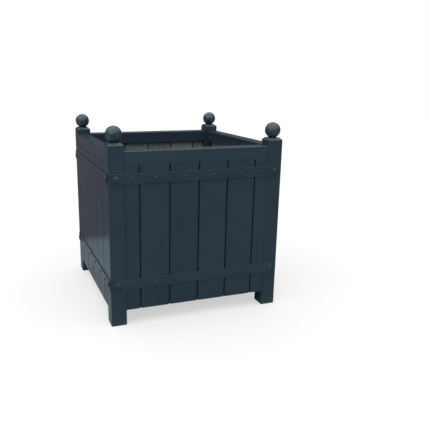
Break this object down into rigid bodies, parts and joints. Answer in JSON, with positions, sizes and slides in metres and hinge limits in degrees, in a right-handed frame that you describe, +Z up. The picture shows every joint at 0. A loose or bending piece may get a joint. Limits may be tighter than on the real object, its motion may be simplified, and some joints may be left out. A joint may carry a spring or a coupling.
{
  "type": "versailles planter",
  "caption": "Square boarded timber planter on four post legs, with ball finials, top rails, bolted flat straps and a slatted floor inside.",
  "frame": {"origin": "on the ground at the centre of the planter's plan", "axes": "+Z up, the front face that the picture shows most of looks towards -Y, +X to the right along it"},
  "size_m": [0.716, 0.716, 0.7596],
  "materials": {
    "painted_timber": "satin dark blue-grey paint on planed softwood, bare wood inside",
    "painted_finials": "satin dark blue-grey paint on turned wood",
    "painted_straps": "satin dark blue-grey paint on flat steel bar",
    "painted_fixings": "satin dark blue-grey paint on domed screw heads",
    "raw_timber": "bare pressure-treated softwood, greenish grey",
    "zinc_screws": "zinc-plated countersunk screws"
  },
  "bodies": {
    "root": {"post_front_left": "painted_timber", "post_front_right": "painted_timber", "post_back_right": "painted_timber", "post_back_left": "painted_timber", "finial_front_left": "painted_finials", "finial_front_right": "painted_finials", "finial_back_right": "painted_finials", "finial_back_left": "painted_finials", "top_rail_front": "painted_timber", "top_rail_right": "painted_timber", "top_rail_back": "painted_timber", "top_rail_left": "painted_timber", "sill_front": "raw_timber", "sill_right": "raw_timber", "sill_back": "raw_timber", "sill_left": "raw_timber", "board_front_1": "painted_timber", "board_front_2": "painted_timber", "board_front_3": "painted_timber", "board_front_4": "painted_timber", "board_front_5": "painted_timber", "board_front_6": "painted_timber", "board_right_1": "painted_timber", "board_right_2": "painted_timber", "board_right_3": "painted_timber", "board_right_4": "painted_timber", "board_right_5": "painted_timber", "board_right_6": "painted_timber", "board_back_1": "painted_timber", "board_back_2": "painted_timber", "board_back_3": "painted_timber", "board_back_4": "painted_timber", "board_back_5": "painted_timber", "board_back_6": "painted_timber", "board_left_1": "painted_timber", "board_left_2": "painted_timber", "board_left_3": "painted_timber", "board_left_4": "painted_timber", "board_left_5": "painted_timber", "board_left_6": "painted_timber", "upper_strap_front": "painted_straps", "upper_strap_right": "painted_straps", "upper_strap_back": "painted_straps", "upper_strap_left": "painted_straps", "lower_strap_front": "painted_straps", "lower_strap_right": "painted_straps", "lower_strap_back": "painted_straps", "lower_strap_left": "painted_straps", "floor_bearer": "raw_timber", "floor_slat_1": "raw_timber", "floor_slat_2": "raw_timber", "floor_slat_3": "raw_timber", "floor_slat_4": "raw_timber", "floor_slat_5": "raw_timber", "floor_slat_6": "raw_timber", "strap_coach_screws": "painted_fixings", "strap_screws": "painted_fixings", "board_screws": "zinc_screws", "floor_screws": "zinc_screws"}
  },
  "joints": []
}
